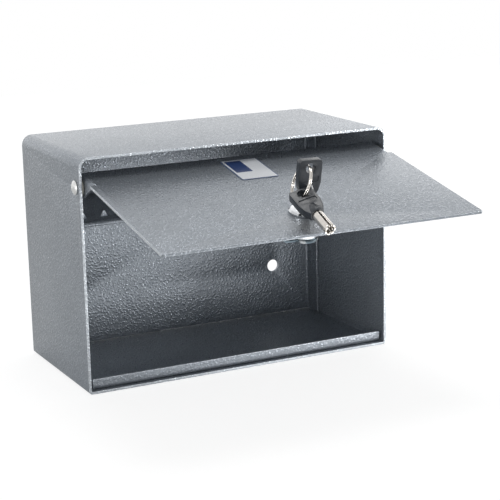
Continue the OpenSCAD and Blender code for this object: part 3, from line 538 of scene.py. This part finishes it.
# Hard drawn spring steel, oiled: dark grey with drawing lines.
wire, tree, shade, spot = material("drawn spring steel")
drag = add(tree, "ShaderNodeTexNoise", {"Vector": spot, "Scale": 1 / 0.0003, "Detail": 3.0})
tone = add(tree, "ShaderNodeMix", {0: drag.outputs["Fac"], 6: linear("74787B"), 7: linear("A0A4A6")}, data_type="RGBA")
tree.links.new(tone.outputs[2], shade.inputs["Base Color"])
shade.inputs["Metallic"].default_value = 1.0
shade.inputs["Roughness"].default_value = 0.34
for node, skin in (("pin_block", brass), ("driver_pins", brass), ("key_pins", brass), ("retaining_pin", wire)):
    for place in frame["nodes"][node].material_slots:
        place.material = skin

# Wire follows the edges of the host mesh: a round section swept along each path, with
# both ends cut square.
drawn_wire, given, made = field_tree("round wire along paths", {"Radius": 0.0001, "Sides": 8})
routes = add(drawn_wire, "GeometryNodeMeshToCurve", {"Mesh": given.outputs["Mesh"]})
section = add(drawn_wire, "GeometryNodeCurvePrimitiveCircle", {"Resolution": given.outputs["Sides"],
                                                              "Radius": given.outputs["Radius"]})
rod = add(drawn_wire, "GeometryNodeCurveToMesh", {"Curve": routes.outputs[0], "Profile Curve": section.outputs[0],
                                                  "Fill Caps": True})
drawn_wire.links.new(rod.outputs[0], made.inputs["Mesh"])


def wires(node, paths, place, skin, **values):
    """Wire pieces along paths of points given in the frame at place."""
    mesh = bpy.data.meshes.new(node + "_wire")
    edges = []
    for path in paths:
        start = edges[-1][1] + 1 if edges else 0
        edges += [(start + i, start + i + 1) for i in range(len(path) - 1)]
    mesh.from_pydata([place @ Vector(point) for path in paths for point in path], edges, [])
    piece = bpy.data.objects.new(node + "_wire", mesh)
    scene.collection.objects.link(piece)
    grown(piece, drawn_wire, **values)
    piece.data.materials.append(skin)
    stands_for(piece, node)


def coil(radius, start, end, height, step=9):
    """Points around Z from one angle to another, in degrees; height gives Z at an angle."""
    turns = [start + (end - start) * i / round((end - start) / step) for i in range(round((end - start) / step) + 1)]
    return [(radius * cos(radians(a)), radius * sin(radians(a)), height(a)) for a in turns]


spring_low, spring_high = -0.0144, -0.0115
spring = [(0.00355 + x, y, z) for x, y, z in
          coil(0.0004, 0, 1800, lambda a: spring_low + (spring_high - spring_low) * a / 1800, 15)]
wires("pin_springs", [[Matrix.Rotation(radians(85 + 360 / 7 * i), 3, "Z") @ Vector(p) for p in spring]
                      for i in range(7)], lock, wire, Radius=0.0001, Sides=6)

# Nickel plated steel: warmer than chrome, drawn lines under the plate.
nickel, tree, shade, spot = material("nickel plated drawn steel")
worn = add(tree, "ShaderNodeTexNoise", {"Vector": spot, "Scale": 1 / 0.004, "Detail": 4.0})
lines = add(tree, "ShaderNodeTexNoise", {"Vector": spot, "Scale": 1 / 0.0003, "Detail": 3.0})
tone = add(tree, "ShaderNodeMix", {0: worn.outputs["Fac"], 6: linear("C2BEB8"), 7: linear("E0DCD6")}, data_type="RGBA")
dull = add(tree, "ShaderNodeMapRange", {"Value": worn.outputs["Fac"], "To Min": 0.1, "To Max": 0.3})
dents = add(tree, "ShaderNodeBump", {"Height": lines.outputs["Fac"], "Strength": 0.35, "Distance": 0.00002})
tree.links.new(tone.outputs[2], shade.inputs["Base Color"])
tree.links.new(dull.outputs[0], shade.inputs["Roughness"])
tree.links.new(dents.outputs[0], shade.inputs["Normal"])
shade.inputs["Metallic"].default_value = 1.0
eased("lock_spindle", 0.00015, (nickel,))
eased("stop_washer", 0.0001, (zinc,))


# The cam: a pressed steel hub and arm on the spindle's flats, stepped towards the door,
# zinc plated, held by a washer and a small cross recess screw.
# The cam's zinc is painted dark: painted shade where it sits under the open door.
zinc_in_painted_shade = zinc_plate("zinc plate darkened as painted shade", "465057", "5F6362", "535D63")
eased("cam", 0.0004, (zinc_in_painted_shade,))
eased("cam_washer", 0.0001, (zinc,))
eased("cam_screw", 0.0002, (zinc,))


# The keys: a tube split along one side with the cuts in its end, seated in a moulded
# black head. The head keeps a fine spark eroded grain with its edges rubbed smoother.
plastic, tree, shade, spot = material("spark eroded black plastic")
erode = add(tree, "ShaderNodeTexVoronoi", {"Vector": spot, "Scale": 1 / 0.00035})
rub = add(tree, "ShaderNodeTexNoise", {"Vector": spot, "Scale": 1 / 0.006, "Detail": 4.0})
tone = add(tree, "ShaderNodeMix", {0: rub.outputs["Fac"], 6: linear("24282C"), 7: linear("383D44")}, data_type="RGBA")
dull = add(tree, "ShaderNodeMapRange", {"Value": rub.outputs["Fac"], "From Min": 0.3, "From Max": 0.7,
                                        "To Min": 0.26, "To Max": 0.42})
dents = add(tree, "ShaderNodeBump", {"Height": erode.outputs["Distance"], "Strength": 0.35, "Distance": 0.00004})
tree.links.new(tone.outputs[2], shade.inputs["Base Color"])
tree.links.new(dull.outputs[0], shade.inputs["Roughness"])
tree.links.new(dents.outputs[0], shade.inputs["Normal"])
for node in ("key_tube", "spare_tube"):
    eased(node, 0.00012, (nickel,))
for node in ("key_head", "spare_head"):
    eased(node, 0.0006, (plastic,))


# The split ring: nickel plated spring wire in two turns that cross over once, with its
# two ends cut square.
ring_place = (lock @ Matrix.Translation((-0.0057, -0.001, 0.0227)) @ Matrix.Rotation(radians(-9.5), 4, "Z")
              @ Matrix.Rotation(radians(109), 4, "Y"))
wires("key_ring", [coil(0.013, 22, 698, lambda a: 0.0006 * max(-1, min(1, (a - 360) / 20)), 4)],
      ring_place, nickel, Radius=0.00055, Sides=16)
